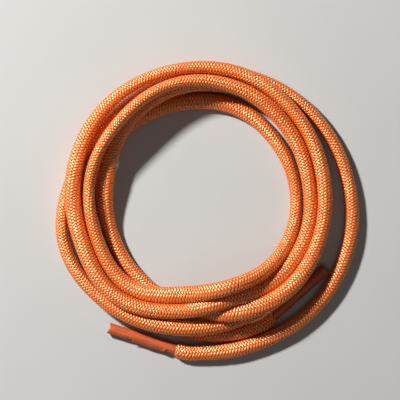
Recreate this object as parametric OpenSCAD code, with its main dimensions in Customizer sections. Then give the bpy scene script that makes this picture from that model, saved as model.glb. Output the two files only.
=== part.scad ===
// Coiled round boot lace: a braided sheath over four core yarns, with a film aglet on each end.
// Millimetres, +Z up. The lace lies on Z = 0 and the coil winds anticlockwise seen from above.

/* [Lace] */
// Diameter of the round lace
lace_d = 4.6; // [4.2:0.1:6]
// Thickness of the braided sheath
sheath_wall = 0.75; // [0.5:0.05:1]
// Clearance round each core yarn
core_fit = 0.05; // [0.04:0.01:0.1]

/* [Coil] */
// Mean radius of the coil, at the middle of its lanes
coil_r = 41.5; // [38:0.5:80]
// Clearance that the lace keeps to itself where turns lie side by side or cross
lay_gap = 0.65; // [0.5:0.05:1.5]
// Radius of the bend in which each end of the lace leaves the coil
end_bend_r = 9.5; // [9.5:0.5:14]
// Degrees that the first end turns towards the middle of the coil
head_turn = 19; // [5:1:22]
// Degrees that the second end turns towards the middle of the coil
tail_turn = 20; // [5:1:22]

/* [Aglets] */
// Length of each aglet
aglet_l = 24; // [15:0.5:30]
// Outer diameter of each aglet
aglet_d = 3.4; // [3:0.1:4]
// Thickness of the aglet film
film_t = 0.2; // [0.1:0.05:0.3]
// Clearance between the film and the lace inside it
film_fit = 0.03; // [0.02:0.01:0.08]
// Straight lace between its last bend and each aglet, its shoulder included
lead_l = 3; // [2.25:0.25:6]
// Length over which the lace draws in to enter the aglet
shoulder_l = 1.5; // [1:0.25:2]

/* [Hidden] */

sheath_colour = "#e8702a";
core_colour = "#efe6d2";
aglet_colour = "#e5743a";

core_yarns = 4;
sheath_sides = 6;
core_sides = 4;
film_sides = 64;

lace_r = lace_d / 2;
pitch = lace_d + lay_gap;
// The lace is pressed flat against the floor by a tenth of its diameter
floor_cut = lace_d / 10;
lace_h = lace_r - floor_cut;

// How the coil lies. A row is one turn, and a column one bearing of knots_per_turn round the coil,
// from first_bearing anticlockwise. LANES holds how many lace pitches the lace runs outside the
// mean radius there, and LAYERS how many pitches it lies above the floor.
knots_per_turn = 12;
knot_angle = 360 / knots_per_turn;
first_bearing = 225;
LANES = [
    [ 5.60,  2.30,  1.85,  1.95,  1.90,  1.60,  1.40,  1.15,  0.80,  0.70,  1.20,  1.95],
    [ 1.35,  0.45, -0.05, -0.35, -0.25, -0.20,  0.10,  0.15,  0.15, -0.30, -0.95, -1.25],
    [-1.30, -1.10, -0.60, -0.20, -0.15,  0.05,  0.55,  1.15,  1.40,  1.50,  1.20,  0.75],
    [ 0.60, -0.70, -1.65, -1.20, -1.05, -0.95, -0.45,  0.15,  0.45,  0.15,  0.05, -0.30],
    [-0.45, -1.85, -2.40, -2.15, -2.00, -1.90, -1.60, -1.05, -0.80, -0.50,  0.00,  0.30],
    [ 0.40,  0.50,  0.78,  0.92,  0.80]
];
LAYERS = [
    [ 0.00,  0.00,  0.00,  0.00,  0.00,  0.00,  0.00,  0.00,  0.00,  0.00,  0.00,  0.00],
    [ 0.60,  1.05,  0.60,  0.50,  0.05,  0.00,  0.00,  0.35,  0.90,  1.00,  0.70,  0.00],
    [ 0.00,  0.05,  1.70,  1.55,  1.05,  1.00,  0.95,  1.00,  0.95,  0.80,  1.00,  0.95],
    [ 1.30,  1.55,  2.05,  1.15,  0.70,  0.65,  0.90,  1.40,  1.90,  2.00,  1.40,  1.00],
    [ 0.90,  1.65,  2.80,  1.50,  0.20,  0.00,  0.00,  0.00,  0.00,  0.00,  0.00,  0.00],
    [ 0.00,  0.00,  0.00,  0.00,  0.00]
];
// The coil starts and ends part way between two knots, and has 24 rings in a turn
first_knot = 1.3;
last_knot = 62.3;
rings_per_turn = 24;
ring_step = knots_per_turn / rings_per_turn;
ring_steps = round((last_knot - first_knot) / ring_step);
small_step = 0.01;

function flat(rows) = [for (row = rows) each row];
lanes = flat(LANES);
layers = flat(LAYERS);

function unit(v) = v / norm(v);
function level(v) = [v.x, v.y, 0];

// A smooth curve through a list of values: the Catmull-Rom spline, at place t along the list
function smooth(list, t) =
    let (
        i = floor(t),
        f = t - i,
        from_slope = (list[i + 1] - list[i - 1]) / 2,
        to_slope = (list[i + 2] - list[i]) / 2
    )
    list[i] * (2 * f^3 - 3 * f^2 + 1) + from_slope * (f^3 - 2 * f^2 + f)
    + list[i + 1] * (3 * f^2 - 2 * f^3) + to_slope * (f^3 - f^2);

function coil_point(t) =
    let (
        radius = coil_r + pitch * smooth(lanes, t),
        bearing = first_bearing + knot_angle * t,
        height = lace_h + pitch * max(0, smooth(layers, t))
    )
    [radius * cos(bearing), radius * sin(bearing), height];

function coil_direction(t) = unit(coil_point(t + small_step) - coil_point(t - small_step));

// Each end leaves the coil level, along the way that the lace points there, in a bend that turns
// towards the middle of the coil. A bend is [where it starts, its way out there, the side it turns to].
function end_bend(t, outward) =
    let (run = unit(level(coil_direction(t))))
    [coil_point(t), outward * run, cross([0, 0, 1], run)];
function bend_point(bend, turned) =
    bend[0] + end_bend_r * (sin(turned) * bend[1] + (1 - cos(turned)) * bend[2]);
function bend_way(bend, turned) = cos(turned) * bend[1] + sin(turned) * bend[2];
head_bend = end_bend(first_knot, -1);
tail_bend = end_bend(last_knot, 1);

// Past its bend each end runs straight
head_from = bend_point(head_bend, head_turn);
head_way = bend_way(head_bend, head_turn);
tail_from = bend_point(tail_bend, tail_turn);
tail_way = bend_way(tail_bend, tail_turn);

// Inside its aglet the lace is squeezed by the film, and a rounded shoulder leads into it
squeeze = (aglet_d / 2 - film_t - film_fit) / lace_r;
shoulder_steps = 3;
end_sections = concat(
    [for (i = [0 : shoulder_steps])
        let (bend = 90 * i / shoulder_steps)
        [lead_l - shoulder_l * (1 - sin(bend)), squeeze + (1 - squeeze) * cos(bend)]],
    [[lead_l + aglet_l, squeeze]]
);

// The route is a list of rings, each with its centre, the way the lace runs and its share of full size
function end_ring(from, outward, section, run) = [from + section[0] * outward, run, section[1]];
coil_rings = [for (i = [0 : ring_steps])
    let (t = first_knot + i * ring_step)
    [coil_point(t), coil_direction(t), 1]];
bend_steps = 3;
head_rings = concat(
    [for (i = [len(end_sections) - 1 : -1 : 0]) end_ring(head_from, head_way, end_sections[i], -head_way)],
    [for (i = [bend_steps : -1 : 1])
        let (turned = head_turn * i / bend_steps)
        [bend_point(head_bend, turned), -bend_way(head_bend, turned), 1]]
);
tail_rings = concat(
    [for (i = [1 : bend_steps])
        let (turned = tail_turn * i / bend_steps)
        [bend_point(tail_bend, turned), bend_way(tail_bend, turned), 1]],
    [for (section = end_sections) end_ring(tail_from, tail_way, section, tail_way)]
);
route = concat(head_rings, coil_rings, tail_rings);

// A point beside the route, at radius out and angle turn from the level side
function beside(ring, out, turn) =
    let (
        side = unit(cross([0, 0, 1], ring[1])),
        lift = cross(ring[1], side)
    )
    ring[0] + out * ring[2] * (cos(turn) * side + sin(turn) * lift);

function above_floor(p) = [p.x, p.y, max(p.z, 0)];

function loop_points(ring, radius, sides) = [for (k = [0 : sides - 1]) beside(ring, radius, 360 * k / sides)];

sheath_outer = [for (ring = route) [for (p = loop_points(ring, lace_r, sheath_sides)) above_floor(p)]];
sheath_inner = [for (ring = route) loop_points(ring, lace_r - sheath_wall, sheath_sides)];

// The whole part is set over the middle of its own box
sheath_x = [for (p = flat(sheath_outer)) p.x];
sheath_y = [for (p = flat(sheath_outer)) p.y];
middle = [min(sheath_x) + max(sheath_x), min(sheath_y) + max(sheath_y), 0] / 2;

// Triangles between two neighbouring loops of points that start at a and b, seen from outside
function band(a, b, sides) = [for (k = [0 : sides - 1])
    let (next = (k + 1) % sides)
    each [[a + k, b + k, b + next], [a + k, b + next, a + next]]];

function turned_over(faces) = [for (f = faces) [f[2], f[1], f[0]]];

// A solid tube along the route: loops of points, joined ring to ring, with a fan on each end
module solid_tube(loops, sides) {
    last = (len(loops) - 1) * sides;
    polyhedron(
        points = flat(loops),
        faces = concat(
            [for (i = [0 : len(loops) - 2]) each turned_over(band(i * sides, (i + 1) * sides, sides))],
            [for (k = [1 : sides - 2]) [0, k, k + 1]],
            [for (k = [1 : sides - 2]) [last, last + k + 1, last + k]]
        )
    );
}

// A tube with a bore along the route: outer loops, inner loops, and a flat annulus on each end
module hollow_tube(outer, inner, sides) {
    count = len(outer);
    bore = count * sides;
    last = (count - 1) * sides;
    polyhedron(
        points = concat(flat(outer), flat(inner)),
        faces = concat(
            [for (i = [0 : count - 2]) each turned_over(band(i * sides, (i + 1) * sides, sides))],
            [for (i = [0 : count - 2]) each band(bore + i * sides, bore + (i + 1) * sides, sides)],
            band(0, bore, sides),
            turned_over(band(last, bore + last, sides))
        )
    );
}

module braided_sheath() {
    color(sheath_colour)
        translate(-middle)
            hollow_tube(sheath_outer, sheath_inner, sheath_sides);
}

// The yarns lie side by side round the axis and fill the bore, each with its clearance
core_reach = (lace_r - sheath_wall) * cos(180 / sheath_sides) - core_fit;
core_share = sin(180 / core_yarns);
core_offset = (core_reach + core_fit / 2) / (1 + core_share);
core_r = core_offset * core_share - core_fit / 2;

module core_yarn(index) {
    turn = 360 * (index - 0.5) / core_yarns;
    loops = [for (ring = route)
        let (axis = beside(ring, core_offset, turn))
        loop_points([axis, ring[1], ring[2]], core_r, core_sides)];
    color(core_colour)
        translate(-middle)
            solid_tube(loops, core_sides);
}

// How far the cutter of the aglet's bore runs past both ends
bore_past = 1;

// A rolled sleeve of film, closed round the squeezed end of the lace
module aglet(from, outward) {
    heading = atan2(outward.y, outward.x);
    color(aglet_colour)
        translate(from - middle + lead_l * outward)
            rotate([0, 90, heading])
                difference() {
                    cylinder(h = aglet_l, d = aglet_d, $fn = film_sides);
                    translate([0, 0, -bore_past])
                        cylinder(h = aglet_l + 2 * bore_past, d = aglet_d - 2 * film_t, $fn = film_sides);
                }
}

// Least distance of the lace to itself, on points along the route closer than half a ring apart.
// Points within a quarter turn of each other are the same stretch of lace, and aren't compared.
function halfway(a, b) = (a + b) / 2;
lace_points = [for (i = [0 : len(coil_rings) - 2])
    each [coil_rings[i][0], halfway(coil_rings[i][0], coil_rings[i + 1][0])]];
near_points = rings_per_turn / 2;
self_gap = min([for (i = [0 : len(lace_points) - 1])
    for (j = [i + near_points : 1 : len(lace_points) - 1])
        norm(lace_points[i] - lace_points[j])]) - lace_d;
steps = [for (i = [1 : len(route) - 1]) norm(route[i][0] - route[i - 1][0])];
function total(list) = list * [for (v = list) 1];
echo(least_gap_mm = self_gap);
echo(lace_length_mm = total(steps));
echo(aglet_1_from = head_from - middle + lead_l * head_way, aglet_1_way = head_way);
echo(aglet_2_from = tail_from - middle + lead_l * tail_way, aglet_2_way = tail_way);
// A ring near the coil's start, where the lace rests on the floor
resting_ring = 8;
echo(middle = middle, resting_point = level(coil_rings[resting_ring][0]) - middle);

braided_sheath();
core_yarn(1);  // core_yarn_1
core_yarn(2);  // core_yarn_2
core_yarn(3);  // core_yarn_3
core_yarn(4);  // core_yarn_4
aglet(head_from, head_way);  // aglet_1
aglet(tail_from, tail_way);  // aglet_2
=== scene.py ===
"""Coiled round boot lace.

A braid of glossy filament yarns over a twisted core lies in a loose coil of five turns, and a
rolled film aglet closes each end. Metres, +Z up, with the lace lying on Z = 0.
"""

import math

import bpy
import numpy as np
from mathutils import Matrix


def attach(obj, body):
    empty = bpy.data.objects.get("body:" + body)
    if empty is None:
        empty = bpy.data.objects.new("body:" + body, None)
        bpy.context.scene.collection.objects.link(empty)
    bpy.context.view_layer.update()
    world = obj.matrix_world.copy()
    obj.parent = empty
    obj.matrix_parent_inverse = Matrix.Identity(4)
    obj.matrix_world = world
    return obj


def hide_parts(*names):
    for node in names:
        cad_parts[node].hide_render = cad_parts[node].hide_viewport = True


bl_info = {
    "name": "Coiled Boot Lace",
    "version": (1, 0, 0),
    "blender": (4, 5, 0),
    "location": "View3D > Sidebar > Boot Lace",
    "description": "Makes a coiled round boot lace from its yarns, core and aglets",
    "category": "Add Mesh",
}

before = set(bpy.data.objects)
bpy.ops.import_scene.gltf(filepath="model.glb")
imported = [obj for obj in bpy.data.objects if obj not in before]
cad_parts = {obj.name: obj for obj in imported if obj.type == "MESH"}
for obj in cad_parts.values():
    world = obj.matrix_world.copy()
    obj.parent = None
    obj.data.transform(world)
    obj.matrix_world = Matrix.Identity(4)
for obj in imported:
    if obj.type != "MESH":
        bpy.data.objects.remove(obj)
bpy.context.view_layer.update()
BODY = "root"
MM = 0.001

# ---------------------------------------------------------------------------------------------
# How the lace lies
# ---------------------------------------------------------------------------------------------

# A row is one turn, and a column one bearing of twelve round the coil, anticlockwise from 225
# degrees. LANES holds how many pitches the lace runs outside the coil's mean radius there, and
# LAYERS how many pitches it lies above the floor.
LANES = np.array(
    [5.60, 2.30, 1.85, 1.95, 1.90, 1.60, 1.40, 1.15, 0.80, 0.70, 1.20, 1.95]
    + [1.35, 0.45, -0.05, -0.35, -0.25, -0.20, 0.10, 0.15, 0.15, -0.30, -0.95, -1.25]
    + [-1.30, -1.10, -0.60, -0.20, -0.15, 0.05, 0.55, 1.15, 1.40, 1.50, 1.20, 0.75]
    + [0.60, -0.70, -1.65, -1.20, -1.05, -0.95, -0.45, 0.15, 0.45, 0.15, 0.05, -0.30]
    + [-0.45, -1.85, -2.40, -2.15, -2.00, -1.90, -1.60, -1.05, -0.80, -0.50, 0.00, 0.30]
    + [0.40, 0.50, 0.78, 0.92, 0.80]
)
LAYERS = np.array(
    [0, 0, 0, 0, 0, 0, 0, 0, 0, 0, 0, 0]
    + [0.60, 1.05, 0.60, 0.50, 0.05, 0, 0, 0.35, 0.90, 1.00, 0.70, 0]
    + [0, 0.05, 1.70, 1.55, 1.05, 1.00, 0.95, 1.00, 0.95, 0.80, 1.00, 0.95]
    + [1.30, 1.55, 2.05, 1.15, 0.70, 0.65, 0.90, 1.40, 1.90, 2.00, 1.40, 1.00]
    + [0.90, 1.65, 2.80, 1.50, 0.20, 0, 0, 0, 0, 0, 0, 0]
    + [0, 0, 0, 0, 0]
)
# The lace is a little oval, and turns as it lies. SPREAD holds how many times as wide as a round
# one it lies there.
SPREAD = np.array(
    [1.10, 1.10, 1.07, 1.02, 1.02, 0.94, 0.88, 0.90, 0.90, 0.90, 0.90, 0.90]
    + [0.95, 1.09, 1.00, 1.00, 1.00, 1.00, 1.00, 1.00, 1.00, 1.04, 1.26, 1.10]
    + [1.00, 1.00, 1.18, 1.14, 1.03, 1.04, 0.92, 0.96, 0.82, 0.96, 1.14, 1.14]
    + [1.06, 1.06, 1.20, 1.16, 1.00, 1.00, 1.04, 1.00, 0.82, 0.82, 0.82, 0.92]
    + [1.12, 1.18, 1.10, 1.06, 0.92, 0.85, 0.96, 1.12, 1.14, 0.92, 0.80, 0.92]
    + [1.03, 1.03, 1.03, 1.00, 1.00]
)
# Knots are counted from 0 at the first bearing, and the coil runs from the first knot to the last.
# The axis of a turn on the floor lies at the axis height.
KNOTS_PER_TURN = 12
FIRST_BEARING = math.radians(225)
FIRST_KNOT, LAST_KNOT = 1.3, 62.3
COIL_RADIUS = 41.5 * MM
PITCH = 5.25 * MM
AXIS_HEIGHT = 1.84 * MM
COIL_MIDDLE = np.array([0.0264, -1.6703, 0.0]) * MM
UP = np.array([0.0, 0.0, 1.0])

# Each end leaves the coil in a level bend, runs free for the lead, narrows over the shoulder and
# runs on through its aglet. The yarns stop short of the aglet's tip by the recess.
END_BEND = 9.5 * MM
HEAD_TURN, TAIL_TURN = math.radians(19), math.radians(20)
LEAD, SHOULDER, AGLET = 3 * MM, 1.5 * MM, 24 * MM
RECESS = 0.7 * MM

# The route is sampled, set out in even stations, and rounded by a moving average
COIL_SAMPLES, BEND_SAMPLES = 8000, 40
STATION = 0.25 * MM
ROUNDING = 3 * MM


def unit(v):
    """Vectors over their lengths."""
    return v / np.linalg.norm(v, axis=-1, keepdims=True)


def read_off(at, along, table):
    """Rows of a table of points or directions, read off at distances between its own."""
    return np.stack([np.interp(at, along, table[:, k]) for k in range(3)], -1)


def sway(along, *waves):
    """Small unevenness along the lace: the sum of height * sin(rate * along + phase)."""
    return sum(height * np.sin(along * rate + phase) for height, rate, phase in waves)


def smooth(values, t):
    """Catmull-Rom curve through the values: the cubic between two of them has, at each, half the
    difference of that value's neighbours as its slope."""
    i = np.floor(t).astype(int)
    f = t - i
    before, here, ahead, beyond = (values[i + k] for k in (-1, 0, 1, 2))
    return (
        here * (2 * f**3 - 3 * f**2 + 1)
        + (ahead - before) / 2 * (f**3 - 2 * f**2 + f)
        + ahead * (3 * f**2 - 2 * f**3)
        + (beyond - here) / 2 * (f**3 - f**2)
    )


def coil_points(t):
    """Axis of the coil: radius = mean radius + pitch * lane, bearing = first + a twelfth turn * t,
    height = resting height + pitch * layer."""
    radius = COIL_RADIUS + PITCH * smooth(LANES, t)
    bearing = FIRST_BEARING + 2 * math.pi / KNOTS_PER_TURN * t
    height = AXIS_HEIGHT + PITCH * np.maximum(0, smooth(LAYERS, t))
    points = np.stack([radius * np.cos(bearing), radius * np.sin(bearing), height], -1)
    return points - COIL_MIDDLE


def loose_end(t, outward, whole_turn):
    """One end of the lace past the coil: a level bend towards the coil's middle, then a straight
    run.

    bend = start + radius * (way * sin(a) + inward * (1 - cos(a))), a from 0 to the whole turn."""
    nudge = 0.001
    start, beyond = coil_points(np.array([t, t + outward * nudge]))
    way = unit((beyond - start) * [1, 1, 0])
    inward = outward * np.cross(UP, way)
    a = np.linspace(0, whole_turn, BEND_SAMPLES)[1:, None]
    bend = start + END_BEND * (way * np.sin(a) + inward * (1 - np.cos(a)))
    run = np.arange(STATION, LEAD + AGLET, STATION)[:, None]
    straight = way * math.cos(whole_turn) + inward * math.sin(whole_turn)
    return np.concatenate([bend, bend[-1] + run * straight])


class Route:
    """The axis of the whole lace from tip to tip, as tables of its centre, of the level direction
    to its side and of the direction that lifts off it, at even stations."""

    def __init__(self):
        knots = np.linspace(FIRST_KNOT, LAST_KNOT, COIL_SAMPLES)
        head = loose_end(FIRST_KNOT, -1, HEAD_TURN)[::-1]
        tail = loose_end(LAST_KNOT, 1, TAIL_TURN)
        line = np.concatenate([head, coil_points(knots), tail])
        steps = np.linalg.norm(np.diff(line, axis=0), axis=1)
        along = np.concatenate([[0], np.cumsum(steps)])
        self.length = along[-1]
        self.along = np.linspace(0, self.length, int(self.length / STATION))
        even = read_off(self.along, along, line)
        knots = np.pad(knots, (len(head), len(tail)), "edge")
        self.wide = smooth(SPREAD, np.interp(self.along, along, knots))
        # The average rounds the places where the straight ends leave the coil
        reach = round(ROUNDING / STATION / 2)
        padded = np.concatenate(
            [
                even[0] + (even[0] - even[1]) * np.arange(reach, 0, -1)[:, None],
                even,
                even[-1] + (even[-1] - even[-2]) * np.arange(1, reach + 1)[:, None],
            ]
        )
        window = np.hanning(2 * reach + 3)[1:-1]
        window /= window.sum()
        averages = [np.convolve(padded[:, k], window, "valid") for k in range(3)]
        self.centre = np.stack(averages, -1)
        ahead = unit(np.gradient(self.centre, axis=0))
        self.side = unit(np.cross(UP, ahead))
        self.lift = np.cross(ahead, self.side)

    def axes(self, at):
        """Centre, side and lift at distances along the lace."""
        return [read_off(at, self.along, table) for table in (self.centre, self.side, self.lift)]

    def past_aglet(self, at):
        """Distance past the inner end of the nearer aglet, below 0 inside it."""
        return np.minimum(at, self.length - at) - AGLET

    def share(self, at, squeeze):
        """Share of full thickness: 1 on the coil, squeeze inside an aglet, and between them a
        quarter of an ellipse, so the braid ends in a rounded shoulder."""
        bend = np.clip((SHOULDER - self.past_aglet(at)) / SHOULDER, 0, 1)
        return squeeze + (1 - squeeze) * np.sqrt(1 - bend**2)

    def oval(self, at):
        """How much wider and taller than round the lace is. It is round again in an aglet."""
        free = np.clip(self.past_aglet(at) / SHOULDER, 0, 1)
        wide = 1 + (np.interp(at, self.along, self.wide) - 1) * free
        return wide, 1 / np.sqrt(wide)


ROUTE = Route()

# How the lace turns to and fro round its own axis: radians, radians a metre, and phase
WANDER = ((0.35, 47, 1.3), (0.25, 101, 0.4))
# Height under which the floor presses the lace flat
SOFT_CONTACT = 0.35 * MM


def place(along, angle, radius, squeeze, twist_length):
    """Point of the lace at a distance along it, an angle round it and a radius out from its axis.

    point = centre + radius * share * (side * wide * cos(a) + lift * tall * sin(a)), where a = angle
    + the slow twist that the lace has picked up. What would dip under the floor is pressed flat
    onto it: a height h under the soft contact c becomes c * exp(h / c - 1)."""
    centre, side, lift = ROUTE.axes(along)
    out = (radius * ROUTE.share(along, squeeze))[..., None]
    twist = 2 * math.pi * along / twist_length
    a = (angle + twist + sway(along, *WANDER))[..., None]
    wide, tall = (v[..., None] for v in ROUTE.oval(along))
    point = centre + out * (side * wide * np.cos(a) + lift * tall * np.sin(a))
    height = point[..., 2]
    pressed = SOFT_CONTACT * np.exp(height / SOFT_CONTACT - 1)
    point[..., 2] = np.where(height < SOFT_CONTACT, pressed, height)
    return point


# ---------------------------------------------------------------------------------------------
# Meshes
# ---------------------------------------------------------------------------------------------

UV_NAME = "yarn"
# Attribute that carries the painted light and shade on the yarns: lit on the crests, shaded in the
# valleys
CREST = "crest"


def make_tube(name, material, points, lengths, arounds, crest=None):
    """One object from a tube of closed sections, with a flat cap at each end.

    points has the shape (rings, sides, 3). Quads join neighbouring rings and face away from the
    axis. U is the distance along the tube and V the distance round its section, both in
    millimetres. arounds has one value more than there are sides, so the last quad closes without a
    jump. crest becomes an attribute of the points."""
    rings, sides = points.shape[:2]
    i, k = np.meshgrid(np.arange(rings - 1), np.arange(sides), indexing="ij")
    near, after = i * sides, (k + 1) % sides
    quads = np.stack([near + k, near + after, near + sides + after, near + sides + k], -1)
    u = np.stack([lengths[i], lengths[i], lengths[i + 1], lengths[i + 1]], -1)
    v = np.stack([arounds[k], arounds[k + 1], arounds[k + 1], arounds[k]], -1)
    caps = [np.arange(sides)[::-1], (rings - 1) * sides + np.arange(sides)]
    cap_uvs = [np.tile([lengths[end], 0.0], (sides, 1)) for end in (0, -1)]
    corners = np.concatenate([quads.ravel(), *caps])
    uvs = np.concatenate([np.stack([u, v], -1).reshape(-1, 2), *cap_uvs])
    starts = np.concatenate([np.arange(0, quads.size, 4), quads.size + np.array([0, sides])])
    mesh = bpy.data.meshes.new(name)
    mesh.vertices.add(rings * sides)
    mesh.vertices.foreach_set("co", points.astype(np.float32).ravel())
    mesh.loops.add(len(corners))
    mesh.loops.foreach_set("vertex_index", corners.astype(np.int32))
    mesh.polygons.add(len(starts))
    mesh.polygons.foreach_set("loop_start", starts.astype(np.int32))
    mesh.polygons.foreach_set("use_smooth", np.ones(len(starts), bool))
    mesh.update(calc_edges=True)
    mesh.uv_layers.new(name=UV_NAME).data.foreach_set("uv", uvs.astype(np.float32).ravel())
    if crest is not None:
        attribute = mesh.attributes.new(CREST, "FLOAT", "POINT")
        attribute.data.foreach_set("value", crest.astype(np.float32).ravel())
    mesh.validate()
    piece = bpy.data.objects.new(name, mesh)
    bpy.context.scene.collection.objects.link(piece)
    mesh.materials.append(material)
    return piece


# ---------------------------------------------------------------------------------------------
# Materials
# ---------------------------------------------------------------------------------------------

# Places of a colour mix's sockets among the node's inputs and outputs
MIX_FACTOR, MIX_A, MIX_B, MIX_RESULT = 0, 6, 7, 2
BLACK, WHITE = (0, 0, 0), (1, 1, 1)


def shaded(colour, share):
    """A share of a colour."""
    return [c * share for c in colour]


class Nodes:
    """Short calls for building a node material."""

    def __init__(self, name):
        self.material = bpy.data.materials.new(name)
        self.material.use_nodes = True
        self.tree = self.material.node_tree
        self.tree.nodes.clear()
        self.shader = self.add("ShaderNodeBsdfPrincipled")
        self.join(self.shader, "BSDF", self.add("ShaderNodeOutputMaterial"), "Surface")

    def add(self, kind, **settings):
        """New node of a kind, with its settings."""
        node = self.tree.nodes.new(kind)
        for key, value in settings.items():
            setattr(node, key, value)
        return node

    def join(self, a, out, b, socket):
        """Link from an output of one node to a socket of another."""
        self.tree.links.new(a.outputs[out], b.inputs[socket])

    def set(self, node, **values):
        """Values of a node's sockets, each named with _ for a blank."""
        for key, value in values.items():
            node.inputs[key.replace("_", " ")].default_value = value

    def coordinates(self, scale, source="UV"):
        """Texture coordinates times a scale. UV is in millimetres, and Object in metres."""
        mapping = self.add("ShaderNodeMapping")
        self.set(mapping, Scale=scale)
        if source == "UV":
            self.join(self.add("ShaderNodeUVMap", uv_map=UV_NAME), "UV", mapping, "Vector")
        else:
            self.join(self.add("ShaderNodeTexCoord"), "Object", mapping, "Vector")
        return mapping

    def noise(self, mapping, detail, scale=1.0, roughness=0.5):
        """Noise on mapped coordinates."""
        noise = self.add("ShaderNodeTexNoise")
        self.set(noise, Scale=scale, Detail=detail, Roughness=roughness)
        self.join(mapping, "Vector", noise, "Vector")
        return noise

    def ramp(self, source, low, high):
        """Colour ramp over a source, from a low to a high stop, each a place and its colour."""
        ramp = self.add("ShaderNodeValToRGB")
        for element, (where, colour) in zip(ramp.color_ramp.elements, (low, high)):
            element.position = where
            element.color = (*colour, 1)
        self.join(source, "Fac", ramp, "Fac")
        return ramp

    def colour_of(self, node):
        """Which output of a node is its colour."""
        return MIX_RESULT if node.bl_idname == "ShaderNodeMix" else "Color"

    def mix(self, a, b, factor, how="MULTIPLY"):
        """Mix of two colours. Each of a, b and the factor is a node or a value."""
        mix = self.add("ShaderNodeMix", data_type="RGBA", blend_type=how)
        for socket, source in ((MIX_A, a), (MIX_B, b), (MIX_FACTOR, factor)):
            if isinstance(source, bpy.types.Node):
                self.join(source, self.colour_of(source), mix, socket)
            else:
                mix.inputs[socket].default_value = source
        return mix

    def colour(self, node):
        """Takes a node's colour as the material's."""
        self.join(node, self.colour_of(node), self.shader, "Base Color")

    def roughness(self, source, out, low, high):
        """Takes a source, from 0 to 1, as the material's roughness, from low to high."""
        rough = self.add("ShaderNodeMapRange")
        self.set(rough, To_Min=low, To_Max=high)
        self.join(source, out, rough, "Value")
        self.join(rough, "Result", self.shader, "Roughness")

    def bump(self, height, distance, strength, under=None):
        """Takes a noise as the material's relief, over the relief under it."""
        bump = self.add("ShaderNodeBump")
        self.set(bump, Distance=distance, Strength=strength)
        self.join(height, "Fac", bump, "Height")
        if under:
            self.join(under, "Normal", bump, "Normal")
        self.join(bump, "Normal", self.shader, "Normal")
        return bump


def yarn_material(lace):
    """Glossy filament yarn: fine filaments run along each yarn, the crests are painted lit and the
    valleys where yarns dive and the undersides of the yarns are painted in shade, and the dye
    varies a little from pick to pick and along the lace."""
    n = Nodes("filament_yarn")
    # Painted light and shade: the crest mask runs from the valley colour, painted shade where yarns
    # dive and under each yarn, to the yarn colour, painted light on the crests
    crest = n.add("ShaderNodeAttribute", attribute_name=CREST)
    deep = n.ramp(crest, (0.0, lace.valley_shade_colour), (0.75, lace.yarn_colour))
    filaments = n.noise(n.coordinates((0.9, 16, 1)), 2)
    streak = n.ramp(filaments, (0.3, (0.72, 0.66, 0.6)), (0.7, WHITE))
    picks = n.noise(n.coordinates((0.55, 0.2, 1)), 0)
    dye = n.ramp(picks, (0.3, (0.93, 0.89, 0.86)), (0.7, WHITE))
    fade = n.noise(n.coordinates((70, 70, 70), "Object"), 3)
    worn = n.ramp(fade, (0.35, (0.93, 0.9, 0.88)), (0.65, WHITE))
    n.colour(n.mix(n.mix(n.mix(deep, streak, 0.55), dye, 0.8), worn, 1.0))
    n.roughness(filaments, "Fac", 0.25, 0.38)
    n.bump(filaments, 0.05 * MM, 0.6)
    tangent = n.add("ShaderNodeTangent", direction_type="UV_MAP", uv_map=UV_NAME)
    n.join(tangent, "Tangent", n.shader, "Tangent")
    n.set(
        n.shader,
        Anisotropic=0.6,
        Specular_IOR_Level=1.0,
        Specular_Tint=(1.0, 0.93, 0.55, 1),
        IOR=1.95,
        Sheen_Weight=0.05,
        Sheen_Roughness=0.4,
        Sheen_Tint=(1.0, 0.8, 0.55, 1),
    )
    return n.material


def core_material(lace):
    """Undyed filler yarn: soft, matt, with loose fibres along it and a blotch here and there."""
    n = Nodes("filler_yarn")
    fibres = n.noise(n.coordinates((1.5, 9, 1)), 4)
    tone = n.ramp(fibres, (0.25, shaded(lace.core_colour, 0.72)), (0.75, lace.core_colour))
    blotch = n.noise(n.coordinates((300, 300, 300), "Object"), 2)
    n.colour(n.mix(tone, n.ramp(blotch, (0.3, (0.88, 0.87, 0.85)), (0.7, WHITE)), 1.0))
    n.bump(fibres, 0.08 * MM, 0.8)
    n.set(n.shader, Roughness=0.85, Sheen_Weight=0.3)
    return n.material


def film_material(aglet):
    """Tinted film: smooth and half matt, with faint lengthwise draw lines, small dents from its
    rolling, and scuffs that are lighter and rougher."""
    n = Nodes("aglet_film")
    lines = n.noise(n.coordinates((0.12, 5, 1)), 3)
    dents = n.noise(n.coordinates((0.45, 0.7, 1)), 1)
    scuffs = n.noise(n.coordinates((1.1, 6, 1)), 5, scale=1.6, roughness=0.65)
    tone = n.ramp(lines, (0.35, shaded(aglet.film_colour, 0.66)), (0.65, aglet.film_colour))
    patch = n.ramp(scuffs, (0.58, BLACK), (0.72, WHITE))
    pale = (*(0.75 * c + 0.2 for c in aglet.film_colour), 1)
    n.colour(n.mix(tone, pale, patch, "MIX"))
    n.roughness(patch, "Color", 0.36, 0.56)
    n.bump(lines, 0.06 * MM, 0.7, n.bump(dents, 0.2 * MM, 0.7))
    n.set(n.shader, Specular_IOR_Level=0.4)
    return n.material


def floor_material(stage):
    """Plain pale floor with the faintest unevenness."""
    n = Nodes("pale_floor")
    grain = n.noise(n.coordinates((25, 25, 25), "Object"), 4)
    n.colour(n.ramp(grain, (0.3, shaded(stage.floor_colour, 0.97)), (0.7, stage.floor_colour)))
    n.set(n.shader, Roughness=0.9, Specular_IOR_Level=0.1)
    return n.material


# ---------------------------------------------------------------------------------------------
# Pieces
# ---------------------------------------------------------------------------------------------


def dress(piece, slot, *nodes):
    """Ties a finished piece to the body and hides the solids it stands for. The slot is not used.
    """
    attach(piece, BODY)
    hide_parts(*nodes)


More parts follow.
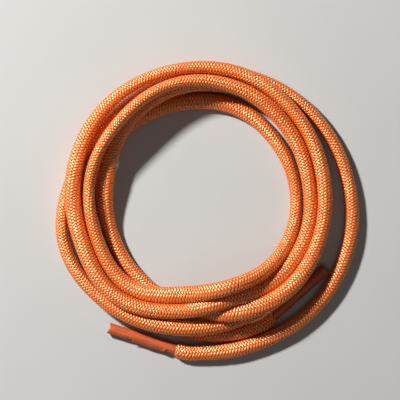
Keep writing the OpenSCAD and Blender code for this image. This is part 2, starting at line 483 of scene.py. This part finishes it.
# Section of a yarn, out from the lace's axis and across the yarn: a low arch over a flat underside
YARN_OUT = np.array([1.0, 0.72, -0.15, -0.75, -0.15, 0.72])
YARN_ACROSS = np.array([0.0, 0.55, 1.0, 0.0, -1.0, -0.55])
SAMPLES_PER_WAVE = 8
# A yarn is this share wider on a crest and narrower in a valley
CREST_SPREAD = 0.1
# Each yarn has a seed, so that its unevenness and its filaments start elsewhere: the seed's steps
# from yarn to yarn and between the windings, and the millimetres of filament that it shifts by
YARN_STEP, WINDING_STEP, FILAMENT_STEP = 2.399, 1.1, 37


def yarn_tube(lace, index, turning):
    """One yarn of the braid, wound one way round the lace.

    Its axis turns once in a lay length, and drifts a little. It rides over the crossing yarns that
    it meets and dives under as many: radius = middle + height * slack * wave, where wave =
    sin(angle * carriers / (2 * over) + pi / (2 * over)), turned over for the other winding.
    Section points stand off that axis, out along the radius and across the yarn in the braid's
    surface."""
    half = lace.carriers // 2
    lay = half * lace.pick
    waves = lace.carriers / (2 * lace.floats_over)
    samples = int(ROUTE.length / lay * waves * SAMPLES_PER_WAVE)
    along = np.linspace(RECESS, ROUTE.length - RECESS, samples)
    seed = index * YARN_STEP + (0 if turning > 0 else WINDING_STEP)
    drift = sway(along, (0.05, 173, seed * 3), (0.03, 419, seed * 7))
    slack = 1 + sway(along, (0.15, 263, seed * 5))
    angle = turning * 2 * math.pi * along / lay + 2 * math.pi * index / half + drift
    wave = turning * np.sin(angle * waves + math.pi / 2 / lace.floats_over)
    middle = lace.diameter / 2 - lace.float_height - lace.yarn_thickness / 2
    radius = middle + lace.float_height * wave * slack
    slope = math.atan(2 * math.pi * middle / lay)
    width = lace.yarn_width / 2 * (1 + CREST_SPREAD * wave)
    across = width[:, None] * YARN_ACROSS
    points = place(
        along[:, None] - turning * math.sin(slope) * across,
        angle[:, None] + math.cos(slope) * across / radius[:, None],
        radius[:, None] + lace.yarn_thickness / 2 * YARN_OUT,
        lace.squeeze,
        lace.twist_length,
    )
    lengths = along / math.cos(slope) / MM + FILAMENT_STEP * seed
    girth = np.linspace(0, 2 * lace.yarn_width / MM, len(YARN_OUT) + 1)
    # Painted light and shade mask: 1, lit, on top of a yarn that rides over another, and 0, in
    # painted shade, underneath and where it dives
    risen = np.clip(0.5 + 0.5 * wave, 0, 1)[:, None]
    return points, lengths, girth, risen * np.clip(0.55 + 0.45 * YARN_OUT, 0, 1)


class BOOTLACE_OT_braid(bpy.types.Operator):
    """Braid the sheath: half the yarns wind each way, and each rides over and dives under others"""

    bl_idname = "bootlace.braid"
    bl_label = "Braid Sheath"

    def execute(self, context):
        lace = context.scene.boot_lace
        material = yarn_material(lace)
        for turning, hand in ((1, "right"), (-1, "left")):
            for index in range(lace.carriers // 2):
                name = f"sheath_yarns_{hand}_{index + 1}"
                piece = make_tube(name, material, *yarn_tube(lace, index, turning))
                dress(piece, "sheath_braid", "braided_sheath")
        return {"FINISHED"}


CORE_RING, CORE_SIDES = 0.8 * MM, 16
# How far the section dips between two core yarns, as a share of its radius
CORE_DIP = 0.22


def core_tube(lace):
    """Four filler yarns twisted together: radius = core * (1 - dip * |sin(2 * angle)| ** 3), and
    the section turns once in its own lay."""
    rings = int(ROUTE.length / CORE_RING)
    along = np.linspace(RECESS, ROUTE.length - RECESS, rings)
    angle = 2 * math.pi * np.arange(CORE_SIDES) / CORE_SIDES
    radius = lace.core_radius * (1 - CORE_DIP * np.abs(np.sin(2 * angle)) ** 3)
    grid_along = np.broadcast_to(along[:, None], (rings, CORE_SIDES))
    points = place(
        grid_along,
        angle + 2 * math.pi * grid_along / lace.core_lay,
        radius,
        lace.squeeze,
        lace.twist_length,
    )
    girth = np.linspace(0, 2 * math.pi * lace.core_radius / MM, CORE_SIDES + 1)
    return points, along / MM, girth


class BOOTLACE_OT_core(bpy.types.Operator):
    bl_idname = "bootlace.core"
    bl_label = "Lay Core"

    def execute(self, context):
        lace = context.scene.boot_lace
        points, lengths, girth = core_tube(lace)
        piece = make_tube("core_yarns", core_material(lace), points, lengths, girth)
        dress(piece, "core_yarn", *(f"core_yarn_{i}" for i in (1, 2, 3, 4)))
        return {"FINISHED"}


FILM_RINGS, FILM_TURNS = 160, 56
# Shares of the aglet's length, from 0 at its tip: where each tear is and its reach, the stretch
# between them that has come unstuck, and how soon that lifts off
TEARS = ((0.3, 0.035), (0.89, 0.05))
UNSTUCK, LIFT_OFF = (0.29, 0.88), 0.03
# Share of the lap that a tear takes away
TEAR_DEPTH = 0.8
# Radians before the lap at which the film steps up onto itself, and over which it does
STEP_LEAD, STEP_SWEEP = 0.55, 0.5
# How the loose edge curls away: the power of its curl, and the share and rate of its ripple
CURL, RIPPLE, RIPPLE_RATE = 1.5, 0.2, 23
# The cut at the tip is hollow by the first, fading over the second as a share of the length, and
# stands back from the route's end by the third
HOLLOW_CUT, HOLLOW_FADE, SET_BACK = 0.6 * MM, 0.03, 0.1 * MM
# The film is pressed flat at its tip and a little at its mouth: how far along it fades, as a share
# of the length, and how much wider and how much lower the film is there
TIP_PRESS, MOUTH_PRESS = (0.09, 0.05, 0.1), (0.04, 0.02, 0.02)


def film_sleeve(aglet, from_start):
    """A strip of film rolled round the lace end and lapped over itself.

    The section runs round the outside from the inner edge to the lapped edge, and back along the
    inside. Outer radius = bore + thickness * (1 + step) + raised, where step rises from 0 to 1 just
    before the lap, and the inner radius is a thickness less. Lap = full lap * (1 - depth * tears),
    and between the two tears the lapped edge has come unstuck and is raised. The tip is pressed a
    little flat, and its cut is hollow: the sides reach further than the top."""
    share = np.linspace(0, 1, FILM_RINGS)[:, None]
    round_once = np.linspace(0, 1, FILM_TURNS)[None, :]
    tears = sum(np.exp(-(((share - where) / reach) ** 4)) for where, reach in TEARS)
    lap = aglet.lap * (1 - TEAR_DEPTH * tears)
    sweep = (2 * math.pi + lap) * round_once
    step = np.clip((sweep - 2 * math.pi + STEP_LEAD) / STEP_SWEEP, 0, 1)
    step = step * step * (3 - 2 * step)
    begin, end = UNSTUCK
    loose = np.clip((share - begin) / LIFT_OFF, 0, 1) * np.clip((end - share) / LIFT_OFF, 0, 1)
    edge = np.clip((sweep - 2 * math.pi) / lap, 0, 1) ** CURL
    ripple = 1 - RIPPLE + RIPPLE * np.sin(share * RIPPLE_RATE)
    raised = aglet.edge_lift * loose * edge * ripple
    outer = aglet.bore + aglet.film_thickness * (1 + step) + raised
    inner = outer - aglet.film_thickness
    radius = np.concatenate([outer, inner[:, ::-1]], 1)
    angle = np.concatenate([sweep, sweep[:, ::-1]], 1) + aglet.lap_bearing
    if not from_start:
        angle = math.pi - angle
        radius, angle = radius[:, ::-1], angle[:, ::-1]
    wide = tall = 1
    for from_end, (fade, wider, lower) in ((share, TIP_PRESS), (1 - share, MOUTH_PRESS)):
        pressed = np.exp(-from_end / fade)
        wide, tall = wide + wider * pressed, tall - lower * pressed
    hollow = np.abs(np.cos(angle)) * HOLLOW_CUT * np.exp(-share / HOLLOW_FADE)
    from_tip = AGLET * share - hollow + SET_BACK
    along = from_tip if from_start else ROUTE.length - from_tip
    centre, side, lift = ROUTE.axes(along)
    # Past either end of the route the film runs straight on
    beyond = np.where(along < 0, along, np.maximum(along - ROUTE.length, 0))[..., None]
    points = (
        centre
        + np.cross(side, lift) * beyond
        + side * (radius * wide * np.cos(angle))[..., None]
        + lift * (radius * tall * np.sin(angle))[..., None]
    )
    if not from_start:
        points = points[::-1]
    lengths = np.linspace(0, AGLET / MM, FILM_RINGS)
    girth = np.linspace(0, 4 * math.pi * aglet.bore / MM, 2 * FILM_TURNS + 1)
    return points, lengths, girth


class BOOTLACE_OT_aglets(bpy.types.Operator):
    """Roll a film aglet round each end of the lace"""

    bl_idname = "bootlace.aglets"
    bl_label = "Roll Aglets"

    def execute(self, context):
        aglet = context.scene.boot_lace_aglets
        material = film_material(aglet)
        for number, from_start in ((1, True), (2, False)):
            piece = make_tube(f"aglet_film_{number}", material, *film_sleeve(aglet, from_start))
            dress(piece, "aglet_film", f"aglet_{number}")
        return {"FINISHED"}


# Width of the camera's film in its own units, and the lace's height where the view is measured
SENSOR_WIDTH = 36
VIEWED_HEIGHT = 5 * MM


class BOOTLACE_OT_stage(bpy.types.Operator):
    """Set the floor, the lamps, the world and the camera"""

    bl_idname = "bootlace.stage"
    bl_label = "Set Stage"

    def execute(self, context):
        stage, scene = context.scene.boot_lace_stage, context.scene
        mesh = bpy.data.meshes.new("floor")
        s = stage.floor_size / 2
        mesh.from_pydata([(-s, -s, 0), (s, -s, 0), (s, s, 0), (-s, s, 0)], [], [(0, 1, 2, 3)])
        floor = bpy.data.objects.new("floor", mesh)
        scene.collection.objects.link(floor)
        mesh.materials.append(floor_material(stage))
        for name, bearing, height, size, power in (
            ("key_lamp", stage.key_bearing, stage.key_height, stage.key_size, stage.key_power),
            ("fill_lamp", stage.fill_bearing, stage.fill_height, stage.fill_size, stage.fill_power),
        ):
            lamp = bpy.data.lights.new(name, "AREA")
            lamp.shape, lamp.size, lamp.energy = "DISK", size, power
            lamp_object = bpy.data.objects.new(name, lamp)
            lamp_object.location = (
                stage.lamp_distance * math.cos(height) * math.cos(bearing),
                stage.lamp_distance * math.cos(height) * math.sin(bearing),
                stage.lamp_distance * math.sin(height),
            )
            # A lamp shines along its -Z axis, and this turns it to the middle of the floor
            lamp_object.rotation_euler = (math.pi / 2 - height, 0, bearing + math.pi / 2)
            scene.collection.objects.link(lamp_object)
        world = bpy.data.worlds.new("soft_room")
        world.use_nodes = True
        background = world.node_tree.nodes["Background"]
        background.inputs["Color"].default_value = (*WHITE, 1)
        background.inputs["Strength"].default_value = stage.room_light
        scene.world = world
        camera = bpy.data.cameras.new("camera")
        camera.sensor_width = SENSOR_WIDTH
        camera.lens = SENSOR_WIDTH * stage.camera_height / stage.view_width
        camera.clip_start, camera.clip_end = 0.05, 20
        camera_object = bpy.data.objects.new("camera", camera)
        camera_object.location = (*stage.view_middle, stage.camera_height + VIEWED_HEIGHT)
        scene.collection.objects.link(camera_object)
        scene.camera = camera_object
        scene.view_settings.view_transform = "Standard"
        return {"FINISHED"}


# ---------------------------------------------------------------------------------------------
# Settings
# ---------------------------------------------------------------------------------------------


def length(name, description, default, low=0.0, high=1.0):
    """A length property, in metres."""
    return bpy.props.FloatProperty(
        name=name,
        description=description,
        default=default,
        min=low,
        max=high,
        precision=5,
        subtype="DISTANCE",
        unit="LENGTH",
    )


def degrees(name, description, default, low=-360, high=360):
    """An angle property, written in degrees."""
    return bpy.props.FloatProperty(
        name=name,
        description=description,
        default=math.radians(default),
        min=math.radians(low),
        max=math.radians(high),
        subtype="ANGLE",
        unit="ROTATION",
    )


def watts(name, description, default):
    """A property for a lamp's power."""
    return bpy.props.FloatProperty(
        name=name, description=description, default=default, min=0, subtype="POWER", unit="POWER"
    )


def tint(name, description, default):
    """A colour property, in linear light."""
    return bpy.props.FloatVectorProperty(
        name=name,
        description=description,
        default=default,
        size=3,
        min=0,
        max=1,
        subtype="COLOR",
    )


class BootLaceSettings(bpy.types.PropertyGroup):
    """Sizes and colours of the lace itself"""

    diameter: length("Diameter", "Across the crests of the braid", 5.12 * MM)
    carriers: bpy.props.IntProperty(
        name="Carriers",
        description="Yarns in the braid, half of them each way round",
        default=12,
        min=8,
        max=48,
        step=4,
    )
    floats_over: bpy.props.IntProperty(
        name="Floats Over",
        description="Crossing yarns that a yarn passes over before it dives under as many",
        default=1,
        min=1,
        max=2,
    )
    pick: length("Pick", "Spacing of neighbouring yarns along the lace", 1.07 * MM)
    yarn_width: length("Yarn Width", "Width of one yarn as it lies in the braid", 0.94 * MM)
    yarn_thickness: length("Yarn Thickness", "Thickness of one yarn", 0.44 * MM)
    float_height: length(
        "Float Height", "How far a yarn rises and dives from the middle of the braid", 0.16 * MM
    )
    twist_length: length("Twist Length", "Lace length in which it turns once", 0.46, 0.01, 10)
    squeeze: bpy.props.FloatProperty(
        name="Squeeze",
        description="Share of its thickness that the lace keeps inside an aglet",
        default=0.59,
        min=0.3,
        max=1,
        subtype="FACTOR",
    )
    core_radius: length("Core Radius", "Radius of the twisted core", 1.66 * MM)
    core_lay: length("Core Lay", "Length in which the core turns once", 14 * MM, 0.001)
    yarn_colour: tint(
        "Yarn Colour", "Filament yarn where it catches the light", (0.92, 0.205, 0.022)
    )
    # Painted shade: the valley colour is the yarn's colour as it looks in shade deep in the braid,
    # where yarns dive
    valley_shade_colour: tint("Valley Colour", "Filament yarn deep in the braid", (0.92, 0.02, 0.01))
    core_colour: tint("Core Colour", "Undyed filler yarn", (0.86, 0.8, 0.68))


class BootLaceAgletSettings(bpy.types.PropertyGroup):
    """Sizes and colour of the aglets"""

    bore: length("Bore", "Inner radius of the rolled film", 1.67 * MM)
    film_thickness: length("Film Thickness", "Thickness of the film", 0.12 * MM)
    lap: degrees("Lap", "How far round the film laps over itself", 60, 10, 180)
    lap_bearing: degrees("Lap Bearing", "Where round the aglet the film starts", 110)
    edge_lift: length(
        "Edge Lift", "How far the loose stretch of the lapped edge stands off", 0.4 * MM
    )
    film_colour: tint("Film Colour", "Tinted film", (0.64, 0.12, 0.034))


class BootLaceStageSettings(bpy.types.PropertyGroup):
    """The floor, the light and the camera"""

    floor_size: length("Floor Size", "Side of the square floor", 4.0, 0.1, 20)
    floor_colour: tint("Floor Colour", "Plain pale floor", (0.52, 0.51, 0.49))
    lamp_distance: length("Lamp Distance", "Lamps from the middle of the floor", 0.9, 0.1, 10)
    key_bearing: degrees("Key Bearing", "Bearing of the key lamp", 140)
    key_height: degrees("Key Height", "Height of the key lamp above the horizon", 40, 0, 90)
    key_size: length("Key Size", "Diameter of the key lamp", 0.1, 0.01, 5)
    key_power: watts("Key Power", "Power of the key lamp", 13.5)
    fill_bearing: degrees("Fill Bearing", "Bearing of the fill lamp", 284)
    fill_height: degrees("Fill Height", "Height of the fill lamp above the horizon", 60, 0, 90)
    fill_size: length("Fill Size", "Diameter of the fill lamp", 0.6, 0.01, 5)
    fill_power: watts("Fill Power", "Power of the fill lamp", 0.5)
    room_light: bpy.props.FloatProperty(
        name="Room Light", description="Strength of the light from all round", default=0.06, min=0
    )
    camera_height: length("Camera Height", "Camera above the lace", 1.0, 0.1, 10)
    view_width: length(
        "View Width", "Width that the view takes in at the lace", 139.5 * MM, 0.01, 2
    )
    view_middle: bpy.props.FloatVectorProperty(
        name="View Middle",
        description="Point of the floor in the middle of the view",
        default=(-2.467 * MM, 3.763 * MM),
        size=2,
        precision=5,
        subtype="XYZ_LENGTH",
        unit="LENGTH",
    )


SETTINGS = {
    "boot_lace": BootLaceSettings,
    "boot_lace_aglets": BootLaceAgletSettings,
    "boot_lace_stage": BootLaceStageSettings,
}
OPERATORS = (
    BOOTLACE_OT_braid,
    BOOTLACE_OT_aglets,
    BOOTLACE_OT_core,
    BOOTLACE_OT_stage,
)


class BOOTLACE_PT_panel(bpy.types.Panel):
    """Lists the lace's pieces and its settings"""

    bl_idname = "BOOTLACE_PT_panel"
    bl_label = "Boot Lace"
    bl_space_type = "VIEW_3D"
    bl_region_type = "UI"
    bl_category = "Boot Lace"

    def draw(self, context):
        for operator in OPERATORS:
            self.layout.operator(operator.bl_idname)
        for name, group in SETTINGS.items():
            box = self.layout.box()
            box.label(text=group.__doc__)
            for key in group.__annotations__:
                box.prop(getattr(context.scene, name), key)


CLASSES = (*SETTINGS.values(), *OPERATORS, BOOTLACE_PT_panel)


def register():
    for each in CLASSES:
        bpy.utils.register_class(each)
    for name, group in SETTINGS.items():
        setattr(bpy.types.Scene, name, bpy.props.PointerProperty(type=group))


def unregister():
    for name in SETTINGS:
        delattr(bpy.types.Scene, name)
    for each in reversed(CLASSES):
        bpy.utils.unregister_class(each)


def main():
    register()
    bpy.ops.bootlace.braid()
    bpy.ops.bootlace.aglets()
    bpy.ops.bootlace.core()
    bpy.ops.bootlace.stage()


if __name__ == "__main__":
    main()
